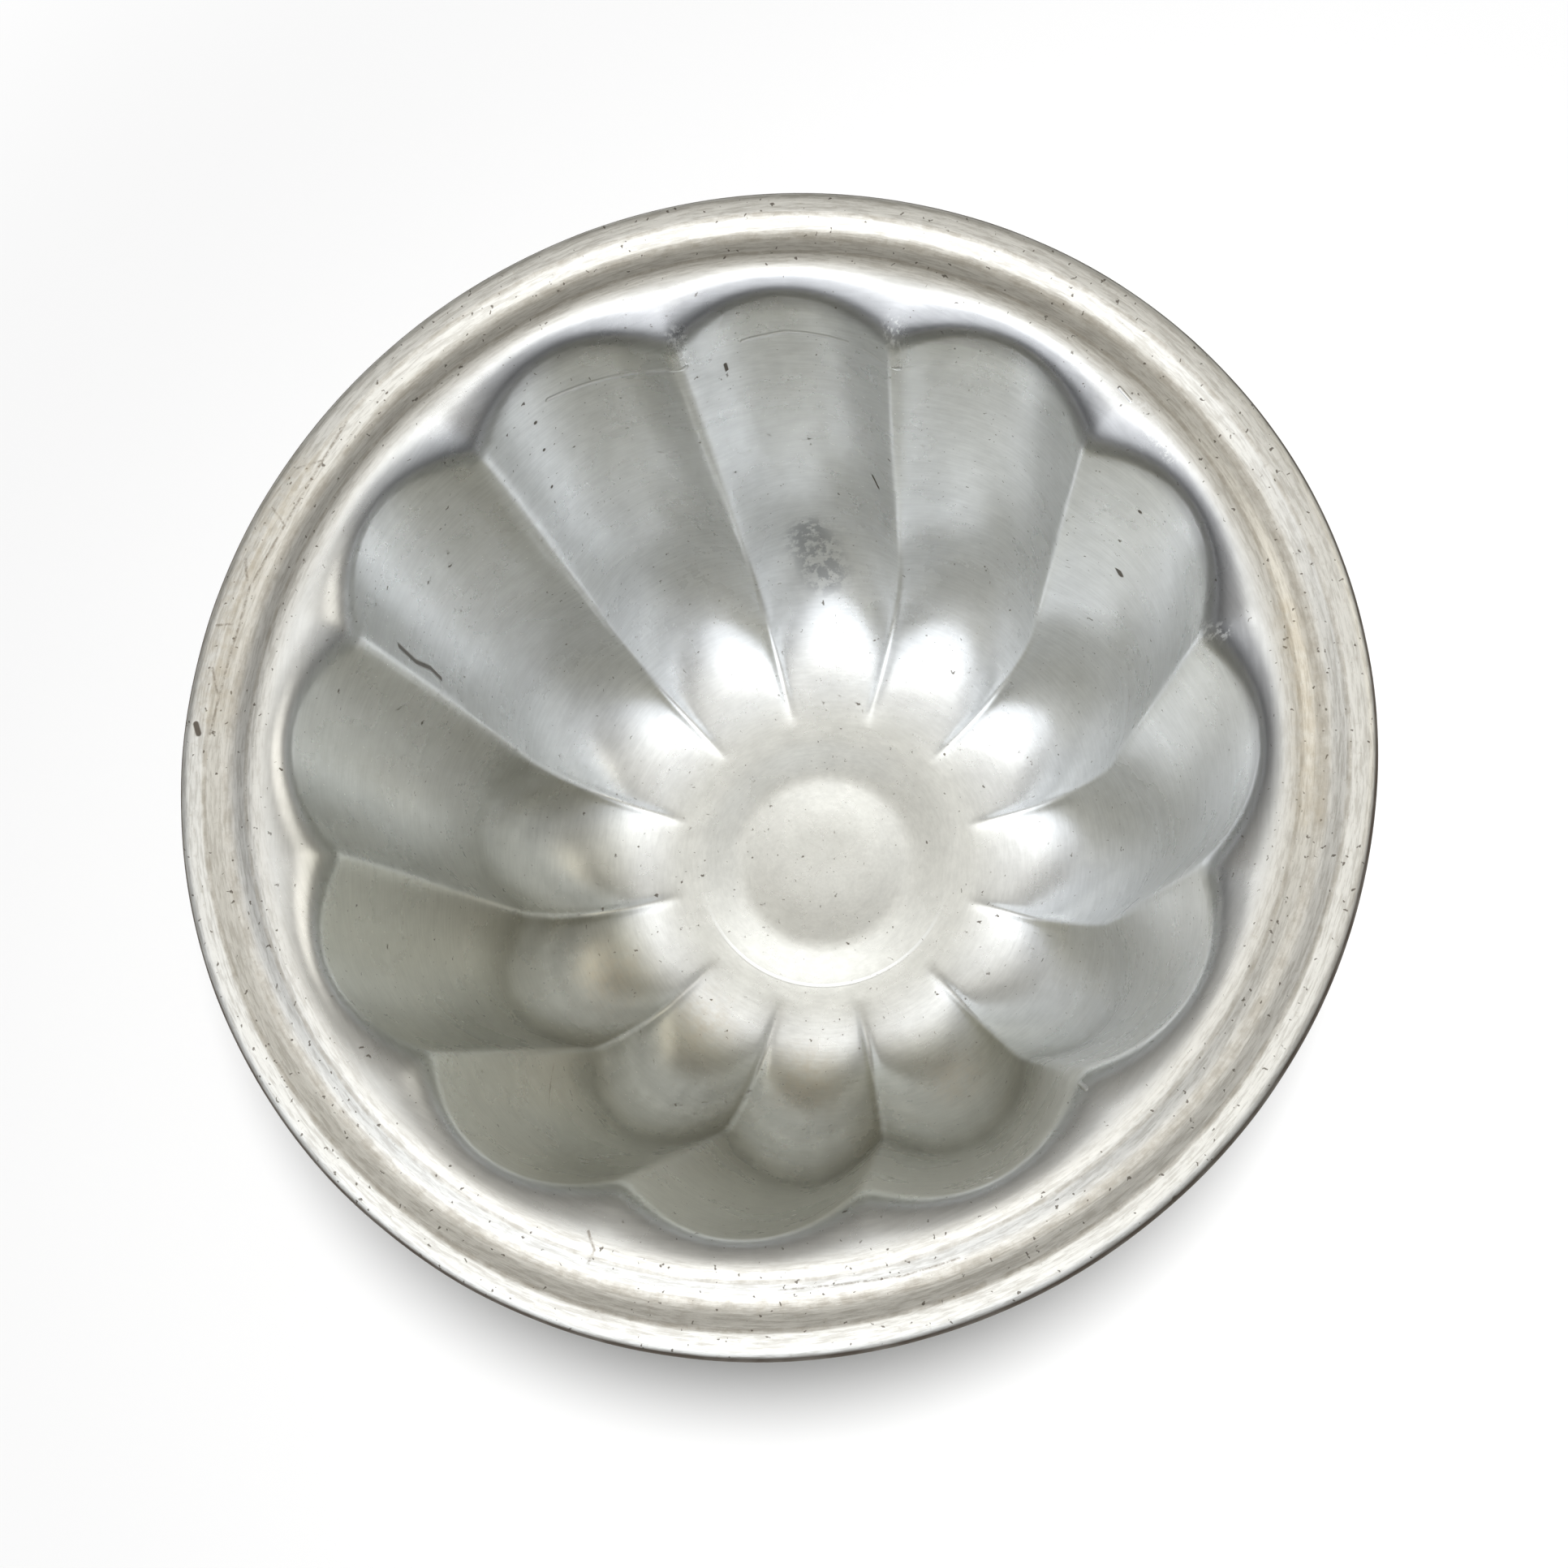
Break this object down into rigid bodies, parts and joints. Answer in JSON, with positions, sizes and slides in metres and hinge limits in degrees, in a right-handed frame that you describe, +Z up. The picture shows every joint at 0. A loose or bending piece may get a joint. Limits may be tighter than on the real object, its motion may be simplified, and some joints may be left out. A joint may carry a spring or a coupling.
{
  "type": "pudding mould",
  "caption": "Round pressed aluminium pudding mould with a fluted, tapered wall, a shallow round dish in its floor, and a grooved flange rolled over a wire.",
  "frame": {"origin": "centre of the underside of the floor", "axes": "+Z up along the mould's axis, out of the mouth; +X through the middle of a flute"},
  "size_m": [0.18, 0.18, 0.089],
  "materials": {
    "pressed_aluminium": "worn satin",
    "wire_steel": "plain drawn wire"
  },
  "bodies": {
    "root": {"mould_shell": "pressed_aluminium", "rim_wire": "wire_steel"}
  },
  "joints": []
}
